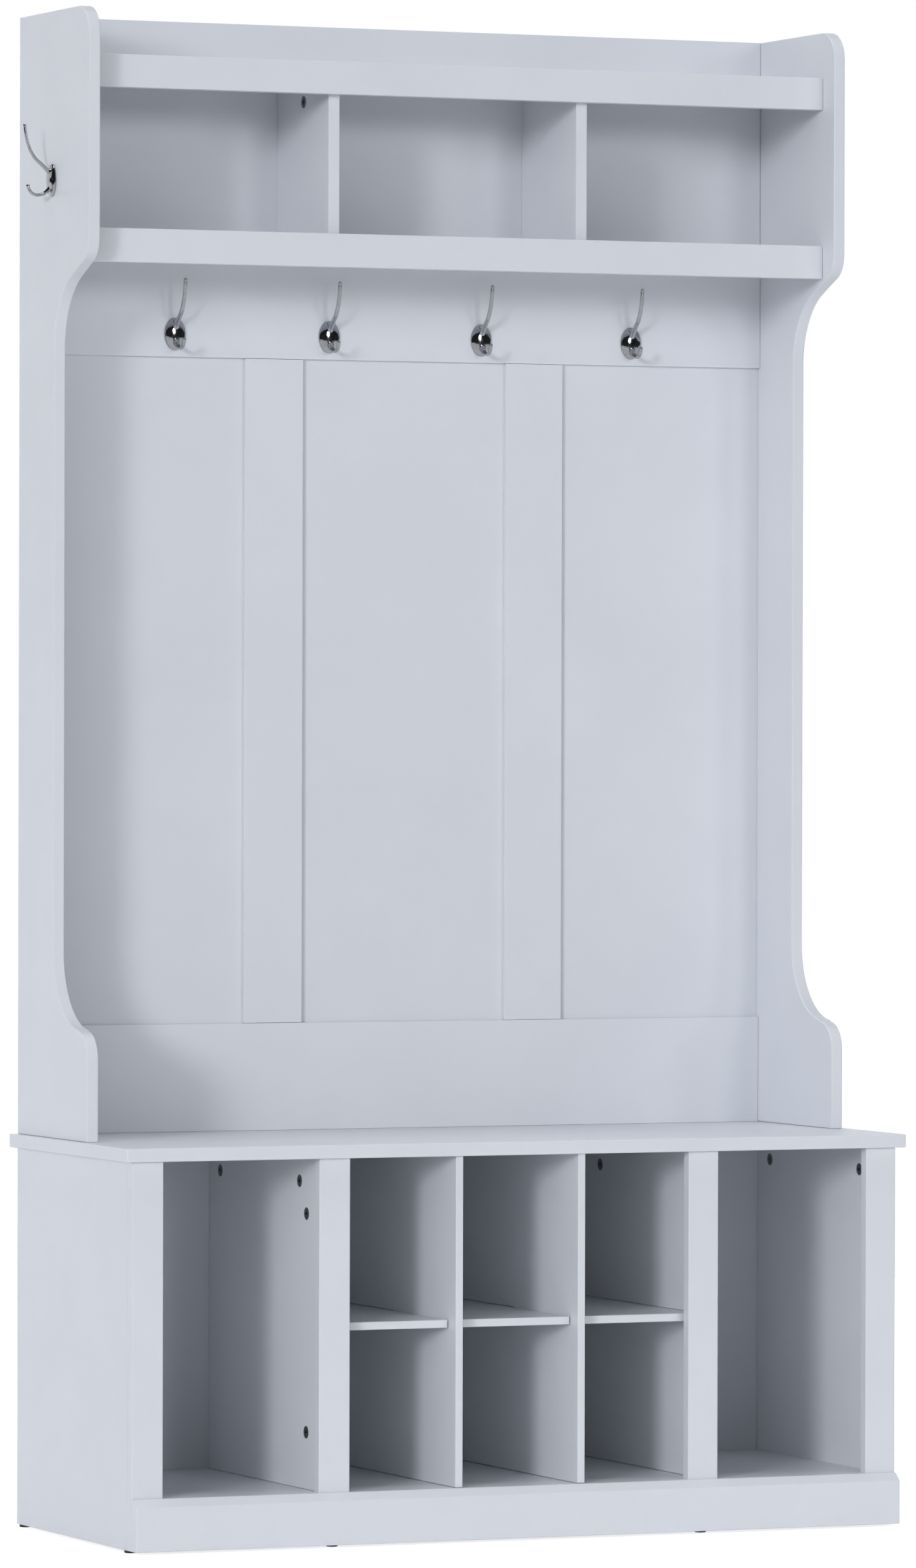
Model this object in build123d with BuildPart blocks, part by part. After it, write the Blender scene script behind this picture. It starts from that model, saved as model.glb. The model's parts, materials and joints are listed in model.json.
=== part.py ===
# Free-standing hall tree: an open-cubby bench base carrying a tall back unit
# with two shelves, a framed back and a row of double coat hooks.
# Millimetres. +Z up, front faces -Y, origin at the bottom centre of the box.
import os

from build123d import *

os.makedirs("parts", exist_ok=True)

# ---------------------------------------------------------------- dimensions
W = 1000.0            # carcass width
D = 400.0             # overall depth, front of plinth to back
H = 1835.0            # overall height
T = 15.0              # board thickness
FOOT = 3.0            # glide thickness, bottom of the boards
YB = D / 2            # back plane

BASE_D = 370.0        # base side panel depth
BENCH_Z0, BENCH_T, BENCH_OVER, BENCH_D = 462.0, 16.0, 10.0, 394.0
BENCH_Z1 = BENCH_Z0 + BENCH_T
FLOOR_Z0 = 50.0
FLOOR_Z1 = FLOOR_Z0 + T
PLINTH_H = 65.0
STILE_W = 40.0
INNER_STILE_IN = 221.5      # inner stile, edge towards the middle
INNER_STILE_OUT = INNER_STILE_IN + STILE_W
DIV_IN, DIV_OUT = 243.0, 258.0
THIN = 10.0           # cubby boards
PART_X = 80.0         # cubby partition centres
CUB_Z0 = 255.0        # cubby shelf underside
BACK_T = 5.0          # thin back panels
BASE_BACK_D = 22.0    # front face of the base back, from the back plane

SIDE_WIDE, SIDE_SLIM = 236.0, 120.0
APRON_D0, APRON_D1 = 189.0, 204.0
FRAME_D0, FRAME_D1 = 9.0, 24.0
TOP_Z1, TOP_APRON_Z0 = 1779.0, 1739.0
LOW_Z1, LOW_APRON_Z0 = 1571.0, 1530.0
UP_DIV_X = 164.2
RAIL_Z0, RAIL_Z1 = 1425.5, 1550.0
BRAIL_Z1 = 610.0
BSTILE_IN, BSTILE_OUT = 136.0, 213.0
PANEL_D0, PANEL_D1 = 13.0, 18.0
GROOVE = 8.0          # depth of a back panel groove
CL = 0.1              # clearance each side of a thin panel in its groove

HOOK_X = (102.0, 306.0)
HOOK_Z = 1453.5
SIDE_HOOK_D, SIDE_HOOK_Z = 113.0, 1631.0
HOOK_SCREW_X = 8.7

CAM_R, CAM_DEPTH, CAM_MID = 7.5, 12.5, 7.5
BOLT_BORE_R, BOLT_PILOT_R, BOLT_PILOT = 3.5, 2.55, 10.5

XI = W / 2 - T        # inner face of a side panel
XM = W / 2 - T / 2    # mid-thickness of a side panel


def Y(d):
    """Depth measured forward from the back plane."""
    return YB - d


def shift(p, v, k):
    return tuple(a + b * k for a, b in zip(p, v))


def at(p, normal):
    return Plane(origin=p, z_dir=normal).location


# ------------------------------------------------------------------ fasteners
# A cam lock sits in `board` with its face centre at p, face normal n; its bolt
# runs along b for `reach` and screws into `mate`.
cams = []


def cam(board, mate, p, n, b, reach):
    cams.append((board, mate, p, n, b, reach))


UP, DOWN, FRONT, BACK, LEFT, RIGHT = (
    (0, 0, 1), (0, 0, -1), (0, -1, 0), (0, 1, 0), (-1, 0, 0), (1, 0, 0),
)
SIDES = (("left", -1, LEFT, RIGHT), ("right", 1, RIGHT, LEFT))
for name, s, out, inn in SIDES:
    # base side panels, cams on the inner face
    for d in (59.0, 314.0):
        cam(f"base_side_{name}", "bench_top", (s * XI, Y(d), 432.0), inn, UP, 30.0)
    for z in (394.0, 133.0):
        cam(f"base_side_{name}", f"stile_outer_{name}", (s * XI, Y(336), z), inn, FRONT, 34.0)
        cam(f"base_divider_{name}", f"stile_inner_{name}", (s * DIV_OUT, Y(336), z), out, FRONT, 34.0)
    for d in (100.0, 270.0):
        cam("base_bottom_panel", f"base_side_{name}", (s * (XI - 34), Y(d), FLOOR_Z0), DOWN, out, 34.0)
    cam(f"base_divider_{name}", "bench_top", (s * DIV_OUT, Y(314), 432.0), out, UP, 30.0)
    # upper unit
    for board, z in (("top_shelf", TOP_Z1 - T), ("lower_shelf", LOW_Z1 - T)):
        for d in (60.0, 150.0):
            cam(board, f"side_panel_{name}", (s * (XI - 34), Y(d), z), DOWN, out, 34.0)
    for board, z in (("top_apron", 1750.0), ("lower_apron", 1542.0)):
        cam(board, f"side_panel_{name}", (s * (XI - 34), Y(APRON_D0), z), BACK, out, 34.0)
    for board, z in (("upper_back_board", 1605.0), ("upper_back_board", 1800.0),
                     ("hook_rail", 1452.0), ("hook_rail", 1524.0), ("bottom_rail", 560.0)):
        cam(board, f"side_panel_{name}", (s * (XI - 34), Y(FRAME_D0), z), BACK, out, 34.0)
    cam("bottom_rail", "bench_top", (s * 320.0, Y(FRAME_D0), BENCH_Z1 + 34), BACK, DOWN, 34.0)
    cam(f"upper_divider_{name}", "top_shelf", (s * (UP_DIV_X + T / 2), Y(109), 1735.5), out, UP, 28.5)
cam("base_divider_left", "bench_top", (-DIV_OUT, Y(59), 432.0), LEFT, UP, 30.0)
cam("base_divider_right", "bench_top", (DIV_IN, Y(77), 431.0), LEFT, UP, 31.0)

# A dowel crosses the joint at p along v: `da` back into board a, `db` into b.
dowels = []


def dowel(a, b, p, v, r, da, db):
    dowels.append((a, b, p, v, r, da, db))


for name, s, out, inn in SIDES:
    for d in (120.0, 250.0):
        dowel(f"base_side_{name}", "bench_top", (s * XM, Y(d), BENCH_Z0), UP, 4.0, 20.0, 9.5)
        dowel(f"base_divider_{name}", "bench_top", (s * 250.5, Y(d), BENCH_Z0), UP, 4.0, 20.0, 9.5)
    for z in (180.0, 340.0):
        dowel(f"base_side_{name}", f"stile_outer_{name}", (s * XM, Y(BASE_D), z), FRONT, 4.0, 20.0, 9.5)
        dowel(f"base_divider_{name}", f"stile_inner_{name}", (s * 250.5, Y(BASE_D), z), FRONT, 4.0, 20.0, 9.5)
    for d in (90.0, 200.0):
        dowel(f"side_panel_{name}", "bench_top", (s * XM, Y(d), BENCH_Z1), DOWN, 4.0, 20.0, 9.5)
    for d in (50.0, 160.0):
        dowel(f"upper_divider_{name}", "top_shelf", (s * UP_DIV_X, Y(d), TOP_Z1 - T), UP, 4.0, 20.0, 9.5)
    for x in (161.0, 188.0):
        dowel(f"back_stile_{name}", "hook_rail", (s * x, Y(16.5), RAIL_Z0), UP, 4.0, 20.0, 15.0)
        dowel(f"back_stile_{name}", "bottom_rail", (s * x, Y(16.5), BRAIL_Z1), DOWN, 4.0, 20.0, 15.0)
    for x in (120.0, 380.0):
        dowel("top_shelf", "top_apron", (s * x, Y(APRON_D0), TOP_Z1 - T / 2), FRONT, 4.0, 20.0, 9.5)
        dowel("lower_shelf", "lower_apron", (s * x, Y(APRON_D0), LOW_Z1 - T / 2), FRONT, 4.0, 20.0, 9.5)
    dowel("upper_back_board", "hook_rail", (s * 300.0, Y(16.5), RAIL_Z1), DOWN, 4.0, 15.0, 15.0)
    for d in (90.0, 300.0):
        dowel(f"cubby_partition_{name}", "bench_top", (s * PART_X, Y(d), BENCH_Z0), UP, 3.0, 15.0, 9.5)
        dowel(f"cubby_partition_{name}", "base_bottom_panel", (s * PART_X, Y(d), FLOOR_Z1), DOWN, 3.0, 15.0, 9.5)

# A countersunk screw enters board a at p and runs along v into board b.
screws = []


def screw(kind, a, b, p, v):
    screws.append((kind, a, b, p, v))


LONG = {"r": 2.0, "head": 3.8, "length": 38.0}
SHORT = {"r": 1.75, "head": 3.3, "length": 25.0}
for name, s, out, inn in SIDES:
    for d in (80.0, 290.0):
        screw("long", "base_bottom_panel", f"base_divider_{name}", (s * 250.5, Y(d), FLOOR_Z0), UP)
    for d in (60.0, 150.0):
        screw("long", "lower_shelf", f"upper_divider_{name}", (s * UP_DIV_X, Y(d), LOW_Z1 - T), UP)
    for z in (1620.0, 1715.0):
        screw("long", "upper_back_board", f"upper_divider_{name}", (s * UP_DIV_X, Y(FRAME_D0), z), FRONT)
    for x in (80.0, 290.0, 400.0):
        screw("long", "upper_back_board", "lower_shelf", (s * x, Y(FRAME_D0), LOW_Z1 - T / 2), FRONT)
        screw("long", "upper_back_board", "top_shelf", (s * x, Y(FRAME_D0), TOP_Z1 - T / 2), FRONT)
    for z in (18.0, 38.0):
        screw("short", f"stile_outer_{name}", "plinth_front", (s * 472.0, Y(BASE_D), z), FRONT)
        screw("short", f"stile_inner_{name}", "plinth_front", (s * 241.5, Y(BASE_D), z), FRONT)

# Coat hooks: (node, board, centre on the face, plane x direction, outward normal)
hooks = [
    (f"coat_hook_{i + 1}", "hook_rail", (x, Y(FRAME_D1), HOOK_Z), RIGHT, FRONT)
    for i, x in enumerate((-HOOK_X[1], -HOOK_X[0], HOOK_X[0], HOOK_X[1]))
]
hooks.append(("side_hook_left", "side_panel_left", (-W / 2, Y(SIDE_HOOK_D), SIDE_HOOK_Z), FRONT, LEFT))
hooks.append(("side_hook_right", "side_panel_right", (W / 2, Y(SIDE_HOOK_D), SIDE_HOOK_Z), BACK, RIGHT))

GLIDES = [(s * XM, Y(d), FOOT) for s in (-1, 1) for d in (10.0, 362.0)]
GLIDES += [(s * 241.5, Y(377.5), FOOT) for s in (-1, 1)]


def neg(v):
    return tuple(-a for a in v)


def fit_fasteners(board):
    """Bores, pilots and countersinks that every fastener needs in this board."""
    for a, mate, p, n, b, reach in cams:
        end = shift(shift(p, b, reach), n, -CAM_MID)
        if a == board:
            with Locations(at(p, n)):
                Hole(radius=CAM_R, depth=CAM_DEPTH)
            with Locations(at(end, b)):
                Hole(radius=BOLT_BORE_R, depth=reach - 4)
        if mate == board:
            with Locations(at(end, neg(b))):
                Hole(radius=BOLT_PILOT_R, depth=BOLT_PILOT)
    for a, b, p, v, r, da, db in dowels:
        if a == board:
            with Locations(at(p, v)):
                Hole(radius=r + 0.05, depth=da + 0.5)
        if b == board:
            with Locations(at(p, neg(v))):
                Hole(radius=r + 0.05, depth=db + 0.5)
    for kind, a, b, p, v in screws:
        k = LONG if kind == "long" else SHORT
        if a == board:
            with Locations(at(p, neg(v))):
                CounterSinkHole(radius=k["r"] + 0.05, counter_sink_radius=k["head"] + 0.1,
                                depth=T, counter_sink_angle=90)
        if b == board:
            with Locations(at(shift(p, v, T), neg(v))):
                Hole(radius=k["r"] + 0.05, depth=k["length"] - T + 0.5)
    for node, wall, p, xd, out in hooks:
        if wall == board:
            for s in (-1, 1):
                with Locations(at(shift(p, xd, s * HOOK_SCREW_X), out)):
                    Hole(radius=1.75, depth=13.5)
    for p in GLIDES:
        holder = ("base_side_left" if p[0] < -300 else "base_side_right" if p[0] > 300
                  else "stile_inner_left" if p[0] < 0 else "stile_inner_right")
        if holder == board:
            with Locations(at(p, DOWN)):
                Hole(radius=1.0, depth=12.5)


def save(builder, label):
    builder.part.label = label
    export_step(builder.part, f"parts/{label}.step")


# ----------------------------------------------------------------- base sides
for name, s, out, inn in SIDES:
    with BuildPart() as base_side:
        with BuildSketch(Plane.XY.offset(FOOT)):
            with Locations((s * XM, Y(BASE_D / 2))):
                Rectangle(T, BASE_D)
        extrude(amount=BENCH_Z0 - FOOT)
        # groove for the thin back, open at both ends
        with BuildSketch(Plane.XY.offset(FOOT)):
            with Locations((s * (XI + GROOVE / 2), Y(BASE_BACK_D - BACK_T / 2))):
                Rectangle(GROOVE, BACK_T + 2 * CL)
        extrude(amount=BENCH_Z0 - FOOT, mode=Mode.SUBTRACT)
        fit_fasteners(f"base_side_{name}")
    save(base_side, f"base_side_{name}")

# ------------------------------------------------------------- base uprights
for name, s, out, inn in SIDES:
    with BuildPart() as base_divider:
        with BuildSketch(Plane.XY.offset(FLOOR_Z1)):
            with Locations((s * (DIV_IN + T / 2), Y((BASE_BACK_D + BASE_D) / 2))):
                Rectangle(T, BASE_D - BASE_BACK_D)
        extrude(amount=BENCH_Z0 - FLOOR_Z1)
        # housing for the end of the cubby shelf, open at the back
        with BuildSketch(Plane.XY.offset(CUB_Z0 - CL)):
            with Locations((s * (DIV_IN + 2.5), Y((BASE_BACK_D + 365.2) / 2))):
                Rectangle(5.0, 365.2 - BASE_BACK_D)
        extrude(amount=THIN + 2 * CL, mode=Mode.SUBTRACT)
        fit_fasteners(f"base_divider_{name}")
    save(base_divider, f"base_divider_{name}")

# ------------------------------------------------------------ base floor board
with BuildPart() as base_bottom_panel:
    with BuildSketch(Plane.XY.offset(FLOOR_Z0)):
        with Locations((0, Y((BASE_BACK_D + BASE_D) / 2))):
            Rectangle(2 * XI, BASE_D - BASE_BACK_D)
        # tongues between the stiles bring the front edge to the plinth
        with Locations((0, Y(BASE_D + T / 2))):
            Rectangle(2 * INNER_STILE_IN, T)
        gap = (W / 2 - STILE_W) - INNER_STILE_OUT
        for s in (-1, 1):
            with Locations((s * (INNER_STILE_OUT + gap / 2), Y(BASE_D + T / 2))):
                Rectangle(gap, T)
    extrude(amount=T)
    fit_fasteners("base_bottom_panel")
save(base_bottom_panel, "base_bottom_panel")

# -------------------------------------------------------------- base thin back
with BuildPart() as base_back_panel:
    with BuildSketch(Plane.XY.offset(30)):
        with Locations((0, Y(BASE_BACK_D - BACK_T / 2))):
            Rectangle(2 * (XI + GROOVE - 0.5), BACK_T)
    extrude(amount=BENCH_Z0 + 3.6 - 30)
save(base_back_panel, "base_back_panel")

# ------------------------------------------------------------------ bench top
with BuildPart() as bench_top:
    with BuildSketch(Plane.XY.offset(BENCH_Z0)):
        with Locations((0, Y(BENCH_D / 2))):
            Rectangle(W + 2 * BENCH_OVER, BENCH_D)
    extrude(amount=BENCH_T)
    chamfered = bench_top.edges().filter_by(Axis.Z).sort_by(Axis.Y)[:2]
    fillet(chamfered, radius=2)
    rim = bench_top.faces().sort_by(Axis.Z)[-1].edges() + bench_top.faces().sort_by(Axis.Z)[0].edges()
    fillet(rim.filter_by(lambda e: e.center().Y < YB - 1), radius=1.2)
    # groove for the thin back
    with BuildSketch(Plane.XY.offset(BENCH_Z0)):
        with Locations((0, Y(BASE_BACK_D - BACK_T / 2))):
            Rectangle(2 * (XI + GROOVE), BACK_T + 2 * CL)
    extrude(amount=4, mode=Mode.SUBTRACT)
    fit_fasteners("bench_top")
save(bench_top, "bench_top")

# ---------------------------------------------------------------- face stiles
for name, s, out, inn in SIDES:
    for kind, x0 in (("outer", W / 2 - STILE_W), ("inner", INNER_STILE_IN)):
        with BuildPart() as stile:
            with BuildSketch(Plane.XY.offset(FOOT)):
                with Locations((s * (x0 + STILE_W / 2), Y(BASE_D + T / 2))):
                    Rectangle(STILE_W, T)
            extrude(amount=BENCH_Z0 - FOOT)
            fit_fasteners(f"stile_{kind}_{name}")
        save(stile, f"stile_{kind}_{name}")

# --------------------------------------------------------------------- plinth
with BuildPart() as plinth_front:
    # end profile in Y-Z, bevelled along the top front edge
    with BuildSketch(Plane.YZ.offset(-W / 2)):
        with BuildLine():
            Polyline(
                (Y(BASE_D + T), FOOT),
                (Y(D), FOOT),
                (Y(D), PLINTH_H - 9),
                (Y(D - 11), PLINTH_H),
                (Y(BASE_D + T), PLINTH_H),
                close=True,
            )
        make_face()
    extrude(amount=W)
    fit_fasteners("plinth_front")
save(plinth_front, "plinth_front")

# ------------------------------------------------------------ cubby dividers
LAP_D = (BASE_BACK_D + 365.0) / 2       # where the two slots meet
for name, s, out, inn in SIDES:
    with BuildPart() as cubby_partition:
        with BuildSketch(Plane.XY.offset(FLOOR_Z1)):
            with Locations((s * PART_X, Y((BASE_BACK_D + BASE_D + T) / 2))):
                Rectangle(THIN, BASE_D + T - BASE_BACK_D)
        extrude(amount=BENCH_Z0 - FLOOR_Z1)
        with BuildSketch(Plane.XY.offset(CUB_Z0 - 0.2)):
            with Locations((s * PART_X, Y((BASE_BACK_D + LAP_D) / 2))):
                Rectangle(THIN, LAP_D - BASE_BACK_D)
        extrude(amount=THIN + 0.4, mode=Mode.SUBTRACT)
        fit_fasteners(f"cubby_partition_{name}")
    save(cubby_partition, f"cubby_partition_{name}")

with BuildPart() as cubby_shelf:
    with BuildSketch(Plane.XY.offset(CUB_Z0)):
        with Locations((0, Y((BASE_BACK_D + 365) / 2))):
            Rectangle(2 * (DIV_IN + 4.8), 365 - BASE_BACK_D)
        # slots from the front edge, wider than the boards that pass through
        for s in (-1, 1):
            with Locations((s * PART_X, Y((LAP_D - 0.2 + 365) / 2))):
                Rectangle(13.5, 365 - LAP_D + 0.2, mode=Mode.SUBTRACT)
    extrude(amount=THIN)
save(cubby_shelf, "cubby_shelf")

# -------------------------------------------------------- scalloped side panel
# Front profile as (depth, height): wide foot, cove into a slim middle, cove
# back out to the wide head, rounded top corner.
for name, s, out, inn in SIDES:
    with BuildPart() as side_panel:
        with BuildSketch(Plane.YZ.offset(-W / 2 if s < 0 else XI)):
            with BuildLine():
                Line((Y(0), BENCH_Z1), (Y(SIDE_WIDE), BENCH_Z1))
                Line((Y(SIDE_WIDE), BENCH_Z1), (Y(SIDE_WIDE), 575.7))
                # convex shoulder r34, centre (202, 575.7)
                sh = CenterArc((Y(202), 575.7), 34, 180, -85)
                # cove r92, centre (212, 702.6)
                cv = CenterArc((Y(212), 702.6), 92, 0, -84)
                Line(sh @ 1, cv @ 1)
                Line(cv @ 0, (Y(SIDE_SLIM), 1428))
                # cove r92, centre (212, 1428)
                cu = CenterArc((Y(212), 1428), 92, 0, 67.4)
                # convex shoulder r30, centre (206, 1558)
                su = CenterArc((Y(206), 1558), 30, 180, 67.4)
                Line(cu @ 1, su @ 1)
                Line(su @ 0, (Y(SIDE_WIDE), H - 36))
                tc = CenterArc((Y(SIDE_WIDE - 36), H - 36), 36, 180, -90)
                Line(tc @ 1, (Y(0), H))
                Line((Y(0), H), (Y(0), BENCH_Z1))
            make_face()
        extrude(amount=T)
        # groove for the recessed back panel
        gx = -XI - GROOVE / 2 if s < 0 else XI + GROOVE / 2
        with BuildSketch(Plane.XY.offset(BRAIL_Z1 - GROOVE)):
            with Locations((gx, Y((PANEL_D0 + PANEL_D1) / 2))):
                Rectangle(GROOVE, BACK_T + 2 * CL)
        extrude(amount=RAIL_Z0 - BRAIL_Z1 + 2 * GROOVE, mode=Mode.SUBTRACT)
        fit_fasteners(f"side_panel_{name}")
    save(side_panel, f"side_panel_{name}")

# ------------------------------------------------------------ shelves, aprons
for label, z1 in (("top_shelf", TOP_Z1), ("lower_shelf", LOW_Z1)):
    with BuildPart() as shelf:
        with BuildSketch(Plane.XY.offset(z1 - T)):
            with Locations((0, Y((FRAME_D1 + APRON_D0) / 2))):
                Rectangle(2 * XI, APRON_D0 - FRAME_D1)
        extrude(amount=T)
        fit_fasteners(label)
    save(shelf, label)

for label, z0, z1 in (("top_apron", TOP_APRON_Z0, TOP_Z1), ("lower_apron", LOW_APRON_Z0, LOW_Z1)):
    with BuildPart() as apron:
        with BuildSketch(Plane.XY.offset(z0)):
            with Locations((0, Y((APRON_D0 + APRON_D1) / 2))):
                Rectangle(2 * XI, APRON_D1 - APRON_D0)
        extrude(amount=z1 - z0)
        fit_fasteners(label)
    save(apron, label)

for name, s, out, inn in SIDES:
    with BuildPart() as upper_divider:
        with BuildSketch(Plane.XY.offset(LOW_Z1)):
            with Locations((s * UP_DIV_X, Y((FRAME_D1 + APRON_D0) / 2))):
                Rectangle(T, APRON_D0 - FRAME_D1)
        extrude(amount=TOP_Z1 - T - LOW_Z1)
        fit_fasteners(f"upper_divider_{name}")
    save(upper_divider, f"upper_divider_{name}")

# ----------------------------------------------------------------- back frame
FRAME_MID = (FRAME_D0 + FRAME_D1) / 2
with BuildPart() as upper_back_board:
    with BuildSketch(Plane.XY.offset(RAIL_Z1)):
        with Locations((0, Y(FRAME_MID))):
            Rectangle(2 * XI, T)
    extrude(amount=H - RAIL_Z1)
    fit_fasteners("upper_back_board")
save(upper_back_board, "upper_back_board")

GROOVE_X = ((-(BSTILE_OUT + XI) / 2, XI - BSTILE_OUT), (0.0, 2 * BSTILE_IN), ((BSTILE_OUT + XI) / 2, XI - BSTILE_OUT))
for label, z0, z1, gz in (
    ("hook_rail", RAIL_Z0, RAIL_Z1, RAIL_Z0),
    ("bottom_rail", BENCH_Z1, BRAIL_Z1, BRAIL_Z1 - GROOVE),
):
    with BuildPart() as rail:
        with BuildSketch(Plane.XY.offset(z0)):
            with Locations((0, Y(FRAME_MID))):
                Rectangle(2 * XI, T)
        extrude(amount=z1 - z0)
        # grooves for the three recessed panels
        with BuildSketch(Plane.XY.offset(gz)):
            for xc, span in GROOVE_X:
                with Locations((xc, Y((PANEL_D0 + PANEL_D1) / 2))):
                    Rectangle(span + (2 * GROOVE if xc == 0 else GROOVE * 2), BACK_T + 2 * CL)
        extrude(amount=GROOVE, mode=Mode.SUBTRACT)
        fit_fasteners(label)
    save(rail, label)

for name, s, out, inn in SIDES:
    with BuildPart() as back_stile:
        with BuildSketch(Plane.XY.offset(BRAIL_Z1)):
            with Locations((s * (BSTILE_IN + BSTILE_OUT) / 2, Y(FRAME_MID))):
                Rectangle(BSTILE_OUT - BSTILE_IN, T)
            for gx in (BSTILE_IN + GROOVE / 2, BSTILE_OUT - GROOVE / 2):
                with Locations((s * gx, Y((PANEL_D0 + PANEL_D1) / 2))):
                    Rectangle(GROOVE, BACK_T + 2 * CL, mode=Mode.SUBTRACT)
        extrude(amount=RAIL_Z0 - BRAIL_Z1)
        fit_fasteners(f"back_stile_{name}")
    save(back_stile, f"back_stile_{name}")

PG = GROOVE - 0.5     # how far a panel reaches into its grooves
for label, x0, x1 in (
    ("back_panel_left", -XI - PG, -BSTILE_OUT + PG),
    ("back_panel_middle", -BSTILE_IN - PG, BSTILE_IN + PG),
    ("back_panel_right", BSTILE_OUT - PG, XI + PG),
):
    with BuildPart() as panel:
        with BuildSketch(Plane.XY.offset(BRAIL_Z1 - PG)):
            with Locations(((x0 + x1) / 2, Y((PANEL_D0 + PANEL_D1) / 2))):
                Rectangle(x1 - x0, BACK_T)
        extrude(amount=RAIL_Z0 - BRAIL_Z1 + 2 * PG)
    save(panel, label)

# ---------------------------------------------------------------- coat hooks
# Built once on the wall plane: +Y up, +Z away from the wall.
ARM = [(4.0, 2.4), (9.5, 4.6), (14.5, 9.2), (20.0, 15.0), (25.3, 21.3), (33.6, 27.2), (42.0, 31.0), (50.0, 33.2),
       (58.0, 34.7), (65.0, 35.4)]
PRONG = [(-4.5, 2.4), (-10.0, 4.6), (-14.5, 8.9), (-17.2, 14.4), (-18.0, 21.0), (-15.8, 26.4), (-11.4, 29.9), (-7.4, 31.2)]
with BuildPart() as hook_shape:
    # oval plate, domed from a 1.2 mm rim
    with BuildSketch():
        Ellipse(14, 20)
    extrude(amount=1.2)
    with BuildSketch(Plane.XY.offset(1.2)):
        Ellipse(14, 20)
    with BuildSketch(Plane.XY.offset(2.9)):
        Ellipse(12.6, 18.2)
    with BuildSketch(Plane.XY.offset(4.4)):
        Ellipse(9.8, 14.6)
    with BuildSketch(Plane.XY.offset(5.5)):
        Ellipse(6.0, 9.6)
    with BuildSketch(Plane.XY.offset(6.0)):
        Ellipse(2.4, 4.4)
    loft()
    # long arm and short prong: flat straps that end in small balls
    for pts in (ARM, PRONG):
        with BuildLine() as path:
            Spline(*[(0, u, o) for u, o in pts])
        with BuildSketch(Plane(origin=path.line @ 0, x_dir=(1, 0, 0), z_dir=path.line % 0)):
            Ellipse(2.4, 1.75)
        sweep(path=path.line)
        with Locations(path.line @ 1):
            Sphere(2.6)
    for s in (-1, 1):
        with Locations(at((s * HOOK_SCREW_X, 0, 3), (0, 0, 1))):
            CounterSinkHole(radius=1.8, counter_sink_radius=3.1, depth=3, counter_sink_angle=90)
        with Locations(at((s * HOOK_SCREW_X, 0, 8), (0, 0, 1))):
            Hole(radius=3.1, depth=5)

for node, wall, p, xd, out in hooks:
    with BuildPart() as hook:
        with Locations(Plane(origin=p, x_dir=xd, z_dir=out).location):
            add(hook_shape.part)
    save(hook, node)

# ----------------------------------------------------------------- hardware
# screw bodies, head at the origin, pointing down local -Z
def screw_profile(r, head, length):
    cone = head - r
    return [(0, -0.05), (head, -0.05), (r, -0.05 - cone), (r, -length + 4), (0, -length)]


with BuildPart() as long_screw:
    with BuildSketch(Plane.XZ):
        with BuildLine():
            Polyline(*screw_profile(LONG["r"], LONG["head"], LONG["length"]), close=True)
        make_face()
    revolve(axis=Axis.Z)
with BuildPart() as short_screw:
    with BuildSketch(Plane.XZ):
        with BuildLine():
            Polyline(*screw_profile(SHORT["r"], SHORT["head"], SHORT["length"]), close=True)
        make_face()
    revolve(axis=Axis.Z)
with BuildPart() as hook_screw:
    with BuildSketch(Plane.XZ):
        with BuildLine():
            Polyline(*screw_profile(1.7, 3.0, 16.0), close=True)
        make_face()
    revolve(axis=Axis.Z)

with BuildPart() as board_screws:
    with Locations(*[at(p, neg(v)) for kind, a, b, p, v in screws if kind == "long"]):
        add(long_screw.part)
save(board_screws, "board_screws")

with BuildPart() as plinth_screws:
    with Locations(*[at(p, neg(v)) for kind, a, b, p, v in screws if kind == "short"]):
        add(short_screw.part)
save(plinth_screws, "plinth_screws")

with BuildPart() as hook_screws:
    with Locations(*[at(shift(shift(p, xd, s * HOOK_SCREW_X), out, 3.0), out)
                     for node, wall, p, xd, out in hooks for s in (-1, 1)]):
        add(hook_screw.part)
save(hook_screws, "hook_screws")

for label, rad in (("dowels_8mm", 4.0), ("dowels_6mm", 3.0)):
    with BuildPart() as group:
        for a, b, p, v, r, da, db in dowels:
            if r == rad:
                with BuildSketch(Plane(origin=shift(p, v, -da), z_dir=v)):
                    Circle(r)
                extrude(amount=da + db)
    save(group, label)

# cam lock: face at the origin, face normal +Z, bolt enters from +X
with BuildPart() as cam_lock:
    with BuildSketch():
        Circle(CAM_R - 0.05)
        Rectangle(8.4, 1.9, mode=Mode.SUBTRACT)
        Rectangle(1.9, 8.4, mode=Mode.SUBTRACT)
    extrude(amount=-2.6)
    with BuildSketch(Plane.XY.offset(-2.6)):
        Circle(CAM_R - 0.05)
    extrude(amount=-(CAM_DEPTH - 0.1 - 2.6))
    with Locations(Plane(origin=(CAM_R + 1, 0, -CAM_MID), z_dir=(1, 0, 0)).location):
        Hole(radius=3.6, depth=CAM_R + 1 + 3.6)

with BuildPart() as cam_locks:
    with Locations(*[Plane(origin=p, x_dir=b, z_dir=n).location for a, m, p, n, b, reach in cams]):
        add(cam_lock.part)
save(cam_locks, "cam_locks")

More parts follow.
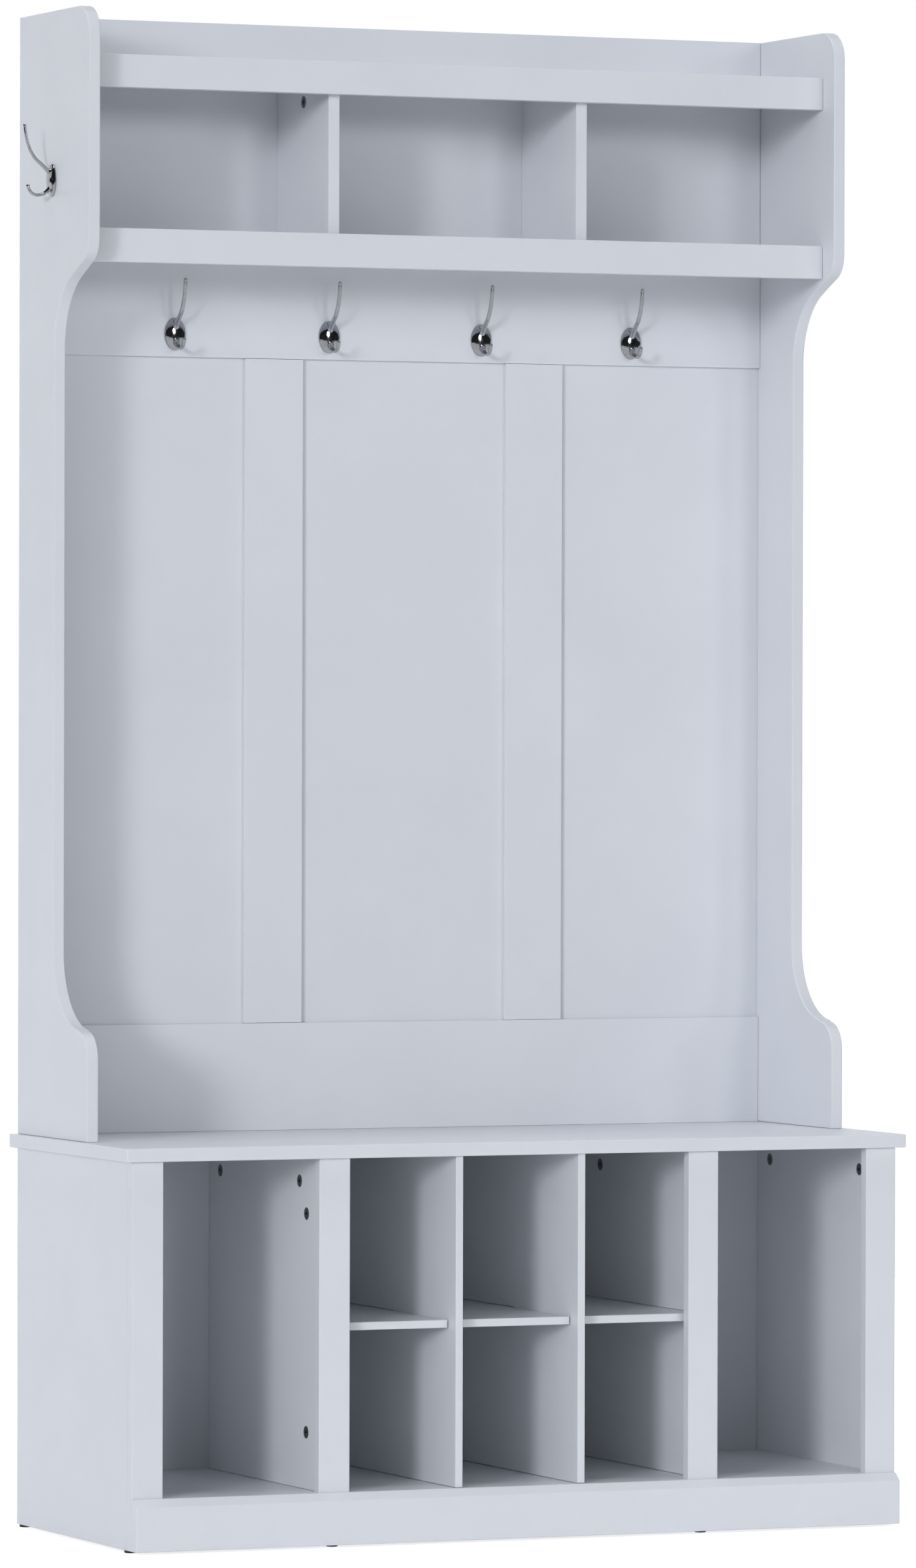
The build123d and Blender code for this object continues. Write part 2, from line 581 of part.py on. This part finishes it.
# cam bolts: head inside the cam, collar at the joint, thread in the mate
bolt_shapes = {}
for reach in sorted({c[5] for c in cams}):
    with BuildPart() as bolt:
        with BuildSketch(Plane.XZ):
            with BuildLine():
                Polyline(
                    (-3.0, 0), (-2.0, 3.0), (2.0, 3.0), (2.0, 1.8), (7.5, 1.8), (7.5, 3.0),
                    (reach - 2.5, 3.0), (reach - 2.5, 3.4), (reach, 3.4), (reach, 2.5),
                    (reach + BOLT_PILOT - 1.5, 2.5), (reach + BOLT_PILOT - 0.3, 1.5),
                    (reach + BOLT_PILOT - 0.3, 0), close=True,
                )
            make_face()
        revolve(axis=Axis.X)
    bolt_shapes[reach] = bolt.part

with BuildPart() as cam_bolts:
    for reach, shape in bolt_shapes.items():
        with Locations(*[Plane(origin=shift(p, n, -CAM_MID), x_dir=b, z_dir=n).location
                         for a, m, p, n, b, r in cams if r == reach]):
            add(shape)
save(cam_bolts, "cam_bolts")

# glides: moulded disc with a nail
with BuildPart() as glide:
    with BuildSketch(Plane.XY.offset(-FOOT)):
        Circle(7.0)
    extrude(amount=FOOT)
    fillet(glide.faces().sort_by(Axis.Z)[0].edges(), radius=1.2)
    with BuildSketch():
        Circle(0.95)
    extrude(amount=12)

with BuildPart() as glide_feet:
    with Locations(*GLIDES):
        add(glide.part)
save(glide_feet, "glide_feet")
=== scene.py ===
import json
import math

import bmesh
import bpy
from mathutils import Matrix, Vector


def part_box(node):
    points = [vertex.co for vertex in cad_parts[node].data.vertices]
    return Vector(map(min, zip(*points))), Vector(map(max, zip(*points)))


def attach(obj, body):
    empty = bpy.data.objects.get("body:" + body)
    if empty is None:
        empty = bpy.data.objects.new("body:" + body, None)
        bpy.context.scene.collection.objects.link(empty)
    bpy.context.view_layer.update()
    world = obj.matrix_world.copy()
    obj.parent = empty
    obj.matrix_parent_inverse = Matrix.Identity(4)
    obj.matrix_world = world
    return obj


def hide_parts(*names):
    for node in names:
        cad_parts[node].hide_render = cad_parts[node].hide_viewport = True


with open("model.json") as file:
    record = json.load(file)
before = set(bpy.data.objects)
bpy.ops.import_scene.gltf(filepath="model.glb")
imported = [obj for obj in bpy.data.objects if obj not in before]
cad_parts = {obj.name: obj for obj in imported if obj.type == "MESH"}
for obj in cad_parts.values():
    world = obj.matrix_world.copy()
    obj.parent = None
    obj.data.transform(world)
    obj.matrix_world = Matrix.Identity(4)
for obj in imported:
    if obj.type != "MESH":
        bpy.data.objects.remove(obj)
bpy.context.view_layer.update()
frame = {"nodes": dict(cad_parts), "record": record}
nodes = frame["nodes"]

# ------------------------------------------------------------------ materials


class Mat:
    """A small helper to lay out a procedural material in object space (metres)."""

    def __init__(self, name):
        self.mat = bpy.data.materials.new(name)
        self.mat.use_nodes = True
        self.tree = self.mat.node_tree
        self.tree.nodes.clear()
        self.out = self.node("ShaderNodeOutputMaterial")
        self.bsdf = self.node("ShaderNodeBsdfPrincipled")
        self.link(self.bsdf, "BSDF", self.out, "Surface")
        self.coord = self.node("ShaderNodeTexCoord")

    def node(self, kind, **props):
        n = self.tree.nodes.new(kind)
        for key, value in props.items():
            setattr(n, key, value)
        return n

    def link(self, a, a_name, b, b_name):
        self.tree.links.new(a.outputs[a_name], b.inputs[b_name])

    def noise(self, scale, detail=3.0, rough=0.5, stretch=None):
        n = self.node("ShaderNodeTexNoise")
        n.inputs["Scale"].default_value = scale
        n.inputs["Detail"].default_value = detail
        n.inputs["Roughness"].default_value = rough
        if stretch:
            m = self.node("ShaderNodeMapping")
            m.inputs["Scale"].default_value = stretch
            self.link(self.coord, "Object", m, "Vector")
            self.link(m, "Vector", n, "Vector")
        else:
            self.link(self.coord, "Object", n, "Vector")
        return n

    def ramp(self, source, output, stops):
        r = self.node("ShaderNodeValToRGB")
        cr = r.color_ramp
        while len(cr.elements) > 2:
            cr.elements.remove(cr.elements[-1])
        for i, (pos, col) in enumerate(stops):
            e = cr.elements[i] if i < 2 else cr.elements.new(pos)
            e.position = pos
            e.color = (*col, 1.0)
        self.link(source, output, r, "Fac")
        return r

    def span(self, source, output, lo, hi, a=0.3, b=0.7):
        r = self.node("ShaderNodeMapRange")
        r.inputs["From Min"].default_value = a
        r.inputs["From Max"].default_value = b
        r.inputs["To Min"].default_value = lo
        r.inputs["To Max"].default_value = hi
        self.link(source, output, r, "Value")
        return r

    def bump(self, source, output, strength, distance):
        b = self.node("ShaderNodeBump")
        b.inputs["Strength"].default_value = strength
        b.inputs["Distance"].default_value = distance
        self.link(source, output, b, "Height")
        self.link(b, "Normal", self.bsdf, "Normal")
        return b


def white_board(name, lo, hi, rough, coat):
    """Satin melamine: faint mottling, orange-peel relief, uneven sheen."""
    m = Mat(name)
    cloud = m.noise(7.0, 4.0, 0.55)
    col = m.ramp(cloud, "Fac", [(0.32, lo), (0.68, hi)])
    m.link(col, "Color", m.bsdf, "Base Color")
    smear = m.noise(22.0, 5.0, 0.6)
    r = m.span(smear, "Fac", rough - 0.04, rough + 0.05)
    m.link(r, "Result", m.bsdf, "Roughness")
    peel = m.noise(620.0, 2.0, 0.5)
    m.bump(peel, "Fac", 0.10, 0.0002)
    m.bsdf.inputs["Specular IOR Level"].default_value = 0.45
    m.bsdf.inputs["Coat Weight"].default_value = coat
    m.bsdf.inputs["Coat Roughness"].default_value = 0.22
    return m.mat


def chrome(name):
    m = Mat(name)
    blot = m.noise(160.0, 3.0, 0.5)
    col = m.ramp(blot, "Fac", [(0.3, (0.41, 0.415, 0.425)), (0.7, (0.49, 0.495, 0.505))])
    m.link(col, "Color", m.bsdf, "Base Color")
    r = m.span(blot, "Fac", 0.07, 0.13)
    m.link(r, "Result", m.bsdf, "Roughness")
    wave = m.noise(420.0, 2.0, 0.5)
    m.bump(wave, "Fac", 0.05, 0.0002)
    m.bsdf.inputs["Metallic"].default_value = 1.0
    return m.mat


def metal(name, lo, hi, r0, r1, scale=900.0, stretch=None):
    m = Mat(name)
    grain = m.noise(scale, 4.0, 0.6, stretch)
    col = m.ramp(grain, "Fac", [(0.3, lo), (0.7, hi)])
    m.link(col, "Color", m.bsdf, "Base Color")
    r = m.span(grain, "Fac", r0, r1)
    m.link(r, "Result", m.bsdf, "Roughness")
    m.bump(grain, "Fac", 0.18, 0.0002)
    m.bsdf.inputs["Metallic"].default_value = 1.0
    return m.mat


def beech(name):
    m = Mat(name)
    grain = m.noise(240.0, 6.0, 0.65, (1.0, 1.0, 0.12))
    col = m.ramp(grain, "Fac", [(0.3, (0.44, 0.29, 0.15)), (0.7, (0.66, 0.48, 0.28))])
    m.link(col, "Color", m.bsdf, "Base Color")
    r = m.span(grain, "Fac", 0.5, 0.7)
    m.link(r, "Result", m.bsdf, "Roughness")
    m.bump(grain, "Fac", 0.3, 0.0003)
    return m.mat


def moulded(name):
    m = Mat(name)
    grain = m.noise(1400.0, 3.0, 0.5)
    col = m.ramp(grain, "Fac", [(0.3, (0.018, 0.018, 0.020)), (0.7, (0.035, 0.035, 0.038))])
    m.link(col, "Color", m.bsdf, "Base Color")
    r = m.span(grain, "Fac", 0.45, 0.6)
    m.link(r, "Result", m.bsdf, "Roughness")
    m.bump(grain, "Fac", 0.25, 0.0002)
    return m.mat


BOARD = white_board("white_board", (0.726, 0.748, 0.785), (0.750, 0.772, 0.808), 0.36, 0.10)
THIN = white_board("white_thin_board", (0.716, 0.738, 0.776), (0.740, 0.762, 0.799), 0.42, 0.05)
CHROME = chrome("hook_chrome")
STEEL = metal("screw_steel", (0.36, 0.36, 0.38), (0.56, 0.56, 0.58), 0.25, 0.4)
# painted shade: the hook screws are coloured near black to stand in for the shade and dark reflection inside the
# countersunk wells
SCREW_DARK_AS_SHADE = metal("screw_black", (0.012, 0.012, 0.014), (0.03, 0.03, 0.034), 0.35, 0.5)
ZINC = metal("cam_zinc", (0.15, 0.153, 0.16), (0.27, 0.275, 0.285), 0.38, 0.55, 700.0)
BEECH = beech("dowel_wood")
GLIDE = moulded("glide_plastic")

SLOT_MATERIAL = {
    "white_board": BOARD, "white_thin_board": THIN, "hook_chrome": CHROME,
    "screw_steel": STEEL, "screw_black": SCREW_DARK_AS_SHADE, "cam_zinc": ZINC, "dowel_wood": BEECH, "glide_plastic": GLIDE,
}
slot_of = {s["node"]: s["material_slot"] for s in frame["record"]["subparts"]}

for name, o in nodes.items():
    o.data.materials.clear()
    o.data.materials.append(SLOT_MATERIAL[slot_of[name]])

# ------------------------------------------------- boards with softened edges


def linked(mesh, name):
    o = bpy.data.objects.new(name, mesh)
    bpy.context.scene.collection.objects.link(o)
    return o


def baked(o, name):
    """Turns an object's modifiers into plain mesh data."""
    dg = bpy.context.evaluated_depsgraph_get()
    me = bpy.data.meshes.new_from_object(o.evaluated_get(dg))
    me.name = name
    done = linked(me, name)
    old = o.data
    bpy.data.objects.remove(o)
    bpy.data.meshes.remove(old)
    return done


SEAM = 0.00022


def softened(node, radius, segments=3, shortest=0.002):
    """A copy of a board with its outer edges eased by `radius` metres, a hair smaller
    all round so that a fine dark seam shows where two boards meet."""
    bm = bmesh.new()
    bm.from_mesh(nodes[node].data)
    lo, hi = (Vector(c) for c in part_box(node))
    mid, half = (lo + hi) / 2, (hi - lo) / 2
    for v in bm.verts:
        for i in range(3):
            v.co[i] = mid[i] + (v.co[i] - mid[i]) * (1 - SEAM / half[i])
    bmesh.ops.remove_doubles(bm, verts=bm.verts, dist=2e-6)
    bmesh.ops.dissolve_limit(bm, angle_limit=math.radians(0.6), verts=bm.verts, edges=bm.edges)
    me = bpy.data.meshes.new(node + "_soft")
    layer = bm.edges.layers.float.new("bevel_weight_edge")
    for e in bm.edges:
        sharp = len(e.link_faces) == 2 and e.calc_face_angle(0.0) > math.radians(55) and e.is_convex
        # rims of bored holes, in chords of a millimetre, stay crisp
        e[layer] = 1.0 if sharp and e.calc_length() > shortest else 0.0
    bm.to_mesh(me)
    bm.free()
    o = linked(me, node + "_raw")
    mod = o.modifiers.new("ease", "BEVEL")
    mod.limit_method = "WEIGHT"
    mod.width = radius
    mod.segments = segments
    mod.profile = 0.5
    mod.use_clamp_overlap = True
    for p in me.polygons:
        p.use_smooth = True
    me.set_sharp_from_angle(angle=math.radians(32))
    # large flat faces keep their own normal, so only the eased edges curve
    wn = o.modifiers.new("flats", "WEIGHTED_NORMAL")
    wn.mode = "FACE_AREA"
    wn.weight = 100
    wn.keep_sharp = True
    piece = baked(o, node + "_board")
    piece.data.materials.clear()
    piece.data.materials.append(SLOT_MATERIAL[slot_of[node]])
    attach(piece, "root")
    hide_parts(node)
    return piece


EASED = {
    "base_side_left": 0.0008, "base_side_right": 0.0008,
    "base_divider_left": 0.0006, "base_divider_right": 0.0006,
    "base_bottom_panel": 0.0006,
    "stile_outer_left": 0.0009, "stile_outer_right": 0.0009,
    "stile_inner_left": 0.0009, "stile_inner_right": 0.0009,
    "plinth_front": 0.0009,
    "cubby_partition_left": 0.0008, "cubby_partition_right": 0.0008, "cubby_shelf": 0.0008,
    "side_panel_left": 0.0012, "side_panel_right": 0.0012,
    "top_shelf": 0.0006, "lower_shelf": 0.0006,
    "top_apron": 0.0009, "lower_apron": 0.0009,
    "upper_divider_left": 0.0008, "upper_divider_right": 0.0008,
    "upper_back_board": 0.0009, "hook_rail": 0.0006, "bottom_rail": 0.0006,
    "back_stile_left": 0.0006, "back_stile_right": 0.0006,
}
for node, radius in EASED.items():
    softened(node, radius)

# ----------------------------------------------------------------- coat hooks
# Built on the wall plane in metres: x across, y up, z out; then placed.


def ring(bm, centre, u, v, a, b, n=40):
    return [bm.verts.new(centre + u * (a * math.cos(2 * math.pi * i / n)) + v * (b * math.sin(2 * math.pi * i / n)))
            for i in range(n)]


def skin(bm, rings):
    for r0, r1 in zip(rings, rings[1:]):
        n = len(r0)
        for i in range(n):
            bm.faces.new((r0[i], r0[(i + 1) % n], r1[(i + 1) % n], r1[i]))
    bm.faces.new(tuple(reversed(rings[0])))
    bm.faces.new(tuple(rings[-1]))


def smooth_path(pts, n):
    """Catmull-Rom through points of any number of values."""
    p = [Vector(q) for q in pts]
    p = [2 * p[0] - p[1]] + p + [2 * p[-1] - p[-2]]
    out = []
    for k in range(1, len(p) - 2):
        for i in range(n):
            t = i / n
            a, b, c, d = p[k - 1], p[k], p[k + 1], p[k + 2]
            out.append(0.5 * ((2 * b) + (c - a) * t + (2 * a - 5 * b + 4 * c - d) * t * t
                              + (3 * b - a - 3 * c + d) * t ** 3))
    out.append(p[-2])
    return out


def hook_mesh():
    mm = 0.001
    X, Yv, Z = Vector((1, 0, 0)), Vector((0, 1, 0)), Vector((0, 0, 1))
    bm = bmesh.new()
    # oval plate, domed from a thin rim
    plate = [(0.0, 14.0, 20.0), (0.9, 14.0, 20.0), (1.5, 13.85, 19.85), (2.2, 13.3, 19.2), (3.0, 12.3, 17.9),
             (3.9, 10.7, 15.7), (4.7, 8.7, 13.0), (5.4, 6.2, 9.7), (5.8, 3.8, 6.2), (6.0, 1.4, 2.4)]
    skin(bm, [ring(bm, Z * (h * mm), X, Yv, a * mm, b * mm, 64) for h, a, b in plate])
    # long arm and short prong as cast straps: (up, out, half width, half thickness)
    arm = [(3.0, 2.2, 4.0, 2.6), (9.5, 4.6, 3.9, 2.7), (14.5, 9.2, 3.6, 2.5), (20.0, 15.0, 3.2, 2.3),
           (25.3, 21.3, 2.95, 2.1), (33.6, 27.2, 2.75, 2.0), (42.0, 31.0, 2.6, 1.9), (50.0, 33.2, 2.45, 1.85),
           (58.0, 34.7, 2.35, 1.8), (65.0, 35.4, 2.3, 1.8)]
    prong = [(-3.0, 2.2, 4.0, 2.6), (-10.0, 4.6, 3.8, 2.6), (-14.5, 8.9, 3.5, 2.35), (-17.2, 14.4, 3.2, 2.15),
             (-18.0, 21.0, 2.95, 2.0), (-15.8, 26.4, 2.75, 1.9), (-11.4, 29.9, 2.6, 1.85), (-7.4, 31.2, 2.5, 1.9)]
    for pts, ball in ((arm, 2.35), (prong, 2.45)):
        path = smooth_path([p for p in pts], 8)
        rings = []
        for i, q in enumerate(path):
            a = path[max(i - 1, 0)]
            b = path[min(i + 1, len(path) - 1)]
            t = Vector((0, b[0] - a[0], b[1] - a[1])).normalized()
            up = t.cross(X).normalized()
            c = Vector((0, q[0], q[1])) * mm
            rings.append(ring(bm, c, X, up, q[2] * mm, q[3] * mm, 24))
        skin(bm, rings)
        tip = path[-1]
        bmesh.ops.create_uvsphere(bm, u_segments=24, v_segments=16, radius=ball * mm,
                                  matrix=Matrix.Translation(Vector((0, tip[0], tip[1])) * mm))
    bmesh.ops.recalc_face_normals(bm, faces=bm.faces)
    me = bpy.data.meshes.new("hook_raw")
    bm.to_mesh(me)
    bm.free()
    o = linked(me, "hook_raw")
    rm = o.modifiers.new("melt", "REMESH")
    rm.mode = "VOXEL"
    rm.voxel_size = 0.00045
    sm = o.modifiers.new("flow", "SMOOTH")
    sm.factor = 0.6
    sm.iterations = 6
    o = baked(o, "hook_cast")
    # countersunk screw wells left and right of the spine
    cut = bmesh.new()
    for s in (-1, 1):
        c = Vector((s * 8.7 * mm, 0, 0))
        skin(cut, [ring(cut, c + Z * (h * mm), X, Yv, r * mm, r * mm, 32)
                   for h, r in ((-1.0, 1.8), (1.65, 1.8), (2.95, 3.1), (9.0, 3.2))])
    bmesh.ops.recalc_face_normals(cut, faces=cut.faces)
    cme = bpy.data.meshes.new("wells")
    cut.to_mesh(cme)
    cut.free()
    wells = linked(cme, "wells")
    bl = o.modifiers.new("wells", "BOOLEAN")
    bl.operation = "DIFFERENCE"
    bl.solver = "EXACT"
    bl.object = wells
    dg = bpy.context.evaluated_depsgraph_get()
    me = bpy.data.meshes.new_from_object(o.evaluated_get(dg))
    bpy.data.objects.remove(o)
    bpy.data.objects.remove(wells)
    for p in me.polygons:
        p.use_smooth = True
    me.set_sharp_from_angle(angle=math.radians(38))
    me.materials.clear()
    me.materials.append(CHROME)
    return me


def frame_of(origin, x_dir, z_dir):
    x, z = Vector(x_dir), Vector(z_dir)
    y = z.cross(x)
    m = Matrix((x, y, z)).transposed().to_4x4()
    m.translation = Vector(origin)
    return m


FACE = 0.200 - 0.024
hook_base = hook_mesh()
HOOKS = [(f"coat_hook_{i + 1}", (x, FACE, 1.4535), (1, 0, 0), (0, -1, 0))
         for i, x in enumerate((-0.306, -0.102, 0.102, 0.306))]
HOOKS.append(("side_hook_left", (-0.5, 0.2 - 0.113, 1.631), (0, -1, 0), (-1, 0, 0)))
HOOKS.append(("side_hook_right", (0.5, 0.2 - 0.113, 1.631), (0, 1, 0), (1, 0, 0)))
for node, origin, xd, zd in HOOKS:
    me = hook_base.copy()
    me.name = node + "_cast"
    me.transform(frame_of(origin, xd, zd))
    piece = linked(me, node + "_cast")
    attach(piece, "root")
    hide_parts(node)

# ---------------------------------------------------------------------- stage
PAPER_GLOW = 0.78
LAMPS = [
    ("overhead", 0, 88, 0.440, 24),
    ("key_low", -50, 10, 0.285, 11),
    ("key_wide", -50, 20, 0.092, 40),
    ("key_high", -50, 45, 0.092, 50),
    ("key_side", -35, 15, 0.063, 40),
    ("front", 10, 8, 0.102, 11),
    ("front_right", 28, 8, 0.080, 11),
]


def stage_mesh(name, verts, faces):
    me = bpy.data.meshes.new(name)
    me.from_pydata(verts, [], faces)
    o = linked(me, name)
    return o


def stage_material(name, colour, glow):
    m = Mat(name)
    n = m.noise(3.0, 3.0, 0.5)
    lo = tuple(c * 0.985 for c in colour)
    col = m.ramp(n, "Fac", [(0.3, lo), (0.7, colour)])
    m.link(col, "Color", m.bsdf, "Base Color")
    m.bsdf.inputs["Roughness"].default_value = 0.9
    m.bsdf.inputs["Specular IOR Level"].default_value = 0.1
    m.bsdf.inputs["Emission Color"].default_value = (1, 1, 1, 1)
    m.bsdf.inputs["Emission Strength"].default_value = glow
    return m.mat


def studio_sweep(name, drop):
    """Floor that sweeps up into a wall far behind the object."""
    profile = [(-14.0, -drop), (4.0, -drop)]
    for i in range(1, 17):
        a = math.radians(90 * i / 16)
        profile.append((4.0 + drop + 2.5 * math.sin(a), 2.5 - drop - 2.5 * math.cos(a)))
    profile.append((6.5 + drop, 9.0))
    sv, sf = [], []
    for y, z in profile:
        sv += [(-12.0, y, z), (14.0, y, z)]
    for i in range(len(profile) - 1):
        sf.append((2 * i, 2 * i + 1, 2 * i + 3, 2 * i + 2))
    o = stage_mesh(name, sv, sf)
    for poly in o.data.polygons:
        poly.use_smooth = True
    return o


# what the camera sees: a pale paper floor that shows only a faint contact shadow;
# it has no wall, so the object also shows from behind
paper = stage_mesh("studio_paper_floor", [(-30, -30, 0), (30, -30, 0), (30, 4, 0), (-30, 4, 0)], [(0, 1, 2, 3)])
paper.data.materials.append(stage_material("studio_paper", (0.55, 0.55, 0.555), PAPER_GLOW))
for flag in ("visible_diffuse", "visible_glossy", "visible_transmission", "visible_shadow"):
    setattr(paper, flag, False)
# what the light sees: plain white paper that bounces it back
bounce = studio_sweep("studio_bounce_sweep", 0.003)
bounce.data.materials.append(stage_material("studio_bounce", (0.93, 0.93, 0.935), 0.0))
bounce.visible_camera = False

# ---------------------------------------------------------------------- light


def lamp(name, azimuth, elevation, strength, angle, colour):
    """A distant soft source. Azimuth from the front (-Y), positive to the right."""
    data = bpy.data.lights.new(name, "SUN")
    data.angle = math.radians(angle)
    data.energy = math.pi * strength
    data.color = colour
    o = bpy.data.objects.new(name, data)
    bpy.context.scene.collection.objects.link(o)
    a, e = math.radians(azimuth), math.radians(elevation)
    d = Vector((math.sin(a) * math.cos(e), -math.cos(a) * math.cos(e), math.sin(e)))
    o.rotation_euler = d.to_track_quat("Z", "Y").to_euler()
    return o


COOL = (0.983, 1.0, 1.042)
for lamp_spec in LAMPS:
    made = lamp(*lamp_spec, COOL)
    # the dark studio in the hooks' chrome: only these two lamps mirror in it
    made.visible_glossy = made.name in ("overhead", "front")

world = bpy.data.worlds.new("studio")
bpy.context.scene.world = world
world.use_nodes = True
wt = world.node_tree
bg = wt.nodes["Background"]
bg.inputs["Color"].default_value = (0.93, 0.96, 1.0, 1.0)
bg.inputs["Strength"].default_value = 0.02
# the backdrop itself is plain white, and lights nothing
white = wt.nodes.new("ShaderNodeBackground")
white.inputs["Color"].default_value = (1.0, 1.0, 1.0, 1.0)
white.inputs["Strength"].default_value = 1.0
seen = wt.nodes.new("ShaderNodeLightPath")
pick = wt.nodes.new("ShaderNodeMixShader")
wt.links.new(seen.outputs["Is Camera Ray"], pick.inputs[0])
wt.links.new(bg.outputs[0], pick.inputs[1])
wt.links.new(white.outputs[0], pick.inputs[2])
wt.links.new(pick.outputs[0], wt.nodes["World Output"].inputs["Surface"])

# --------------------------------------------------------------------- camera
yaw, pitch, roll = math.radians(23.39), math.radians(-0.47), math.radians(0.14)
fw = Vector((math.sin(yaw) * math.cos(pitch), math.cos(yaw) * math.cos(pitch), math.sin(pitch)))
rt = Vector((math.cos(yaw), -math.sin(yaw), 0.0))
up = rt.cross(fw)
rt, up = (math.cos(roll) * rt + math.sin(roll) * up, -math.sin(roll) * rt + math.cos(roll) * up)
cam_data = bpy.data.cameras.new("camera")
cam_data.sensor_fit = "VERTICAL"
cam_data.sensor_height = 36.0
cam_data.lens = 13985.63 / 2520 * 36.0
cam_data.clip_end = 100.0
cam = bpy.data.objects.new("camera", cam_data)
bpy.context.scene.collection.objects.link(cam)
m = Matrix((rt, up, -fw)).transposed().to_4x4()
m.translation = Vector((-4.2106, -9.7264, 0.9917))
cam.matrix_world = m
bpy.context.scene.camera = cam
bpy.context.scene.view_settings.view_transform = "Standard"
